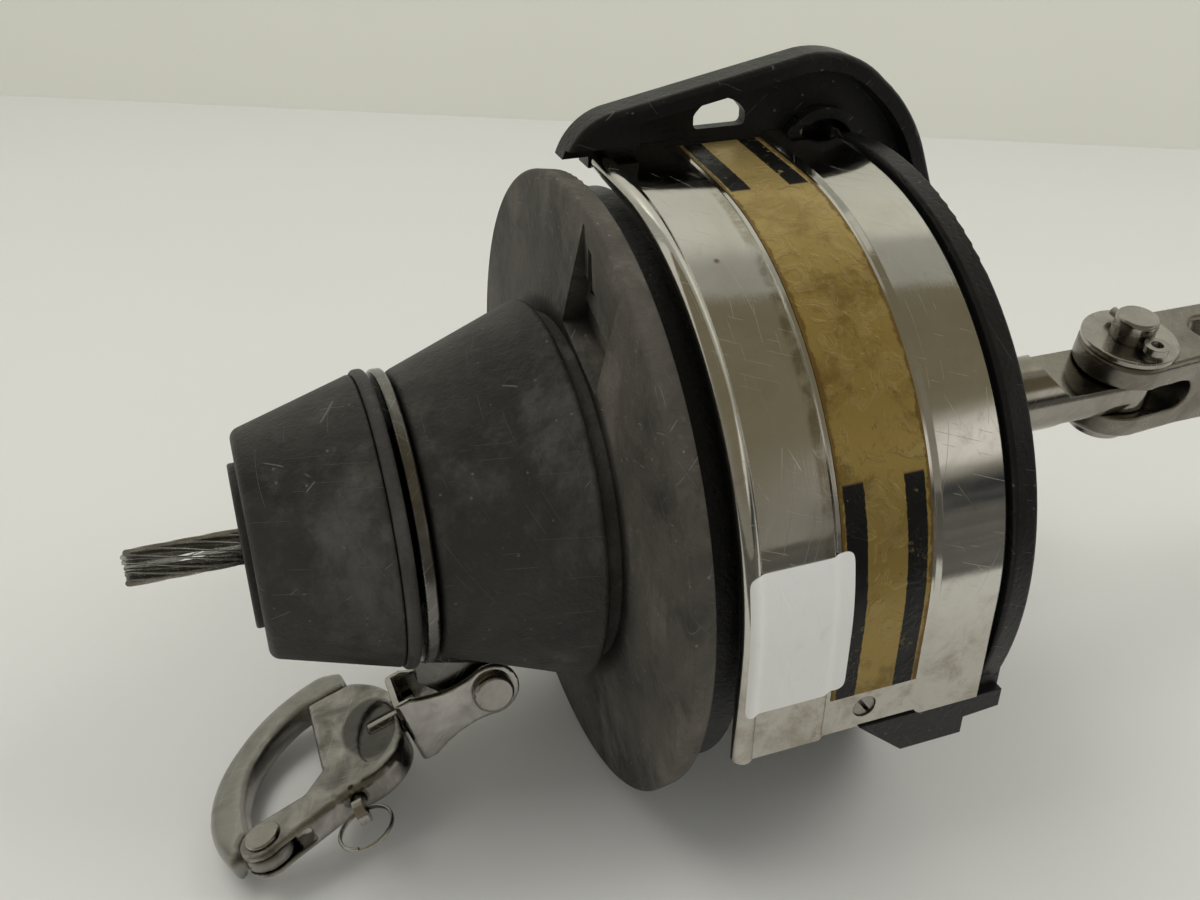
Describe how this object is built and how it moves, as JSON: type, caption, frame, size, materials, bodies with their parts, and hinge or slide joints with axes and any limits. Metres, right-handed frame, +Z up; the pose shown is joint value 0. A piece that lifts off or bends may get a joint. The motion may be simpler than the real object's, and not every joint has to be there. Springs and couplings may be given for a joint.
{
  "type": "headsail roller furler",
  "caption": "Headsail roller furler lower unit: drum with line guide, cones on the stay, swivelling tack snap shackle and deck toggle",
  "frame": {"origin": "On the spin axis, in the front face of the small cone's bush, where the stay wire leaves the unit", "axes": "+X runs along the spin axis from the stay wire to the deck toggle, +Z is up from the table the unit lies on, +Y is to the left when looking along +X, and the cover band is on the -Y side"},
  "size_m": [0.3077, 0.1444, 0.1609],
  "materials": {
    "wire_steel": "stranded stainless wire",
    "stainless": "satin stainless steel",
    "polished_stainless": "polished stainless steel",
    "cone_plastic": "worn matte black plastic",
    "drum_plastic": "worn matte black plastic",
    "cage_plastic": "black plastic",
    "bush_plastic": "grey plastic",
    "bearing_steel": "ground steel",
    "seal_rubber": "nitrile rubber"
  },
  "bodies": {
    "frame": {"stem": "stainless", "stem_nut": "stainless", "stem_circlip": "bearing_steel", "lower_cage": "cage_plastic", "cover_band": "polished_stainless", "cover_screws": "stainless", "bearing_spacer": "stainless", "lower_spacer": "stainless", "upper_bearing_inner_race": "bearing_steel", "lower_bearing_inner_race": "bearing_steel"},
    "drum": {"stay_wire": "wire_steel", "wire_terminal": "stainless", "front_bush": "bush_plastic", "small_cone": "cone_plastic", "spacer_ring": "bush_plastic", "terminal_body": "stainless", "big_cone": "cone_plastic", "bearing_hub": "cage_plastic", "drum_flange": "drum_plastic", "drum_core": "drum_plastic", "drum_lower_flange": "drum_plastic", "drum_screws": "stainless", "upper_bearing_outer_race": "bearing_steel", "lower_bearing_outer_race": "bearing_steel", "upper_bearing_balls": "bearing_steel", "lower_bearing_balls": "bearing_steel", "lip_seal": "seal_rubber", "tack_bush": "bush_plastic"},
    "tack_swivel": {"tack_ring": "polished_stainless"},
    "jaw": {"tack_jaw": "polished_stainless", "tack_pin": "polished_stainless"},
    "shackle": {"shackle_body": "polished_stainless", "swivel_stud": "polished_stainless", "bail_rivet": "stainless", "plunger_spring": "stainless"},
    "bail": {"bail": "polished_stainless"},
    "plunger": {"plunger": "stainless"},
    "ring": {"pull_ring": "stainless"},
    "toggle": {"toggle": "polished_stainless", "toggle_pin": "polished_stainless", "toggle_washer": "polished_stainless", "toggle_cotter": "stainless"}
  },
  "joints": [
    {"name": "drum_spin", "type": "hinge", "parent": "frame", "child": "drum", "pos_m": [0.1, 0, 0], "axis": [1, 0, 0], "continuous": true},
    {"name": "tack_spin", "type": "hinge", "parent": "drum", "child": "tack_swivel", "pos_m": [0.034, 0, 0], "axis": [1, 0, 0], "continuous": true},
    {"name": "jaw_pivot", "type": "hinge", "parent": "tack_swivel", "child": "jaw", "pos_m": [0.0495, -0.0072, -0.04543], "axis": [0, 0.9877, -0.1564], "range_deg": [-45, 2]},
    {"name": "shackle_swivel", "type": "hinge", "parent": "jaw", "child": "shackle", "pos_m": [0.02877, -0.00825, -0.05209], "axis": [-0.9511, -0.0483, -0.3052], "range_deg": [-240, 60]},
    {"name": "bail_pivot", "type": "hinge", "parent": "shackle", "child": "bail", "pos_m": [-0.00576, -0.02877, -0.06019], "axis": [-0.309, 0.1488, 0.9393], "range_deg": [0, 85]},
    {"name": "plunger_slide", "type": "slide", "parent": "shackle", "child": "plunger", "axis": [0, -0.9877, 0.1564], "range_m": [0, 0.004], "stiffness_N_per_m": 600, "springref_m": -0.002, "deforming": ["plunger_spring"]},
    {"name": "ring_pivot", "type": "hinge", "parent": "plunger", "child": "ring", "pos_m": [0.0145, -0.03209, -0.053], "axis": [-0.9511, -0.0483, -0.3052], "range_deg": [-80, 80]},
    {"name": "toggle_pivot", "type": "hinge", "parent": "frame", "child": "toggle", "pos_m": [0.2282, 0, 0], "axis": [0, -0.1736, 0.9848], "range_deg": [-60, 60]}
  ]
}
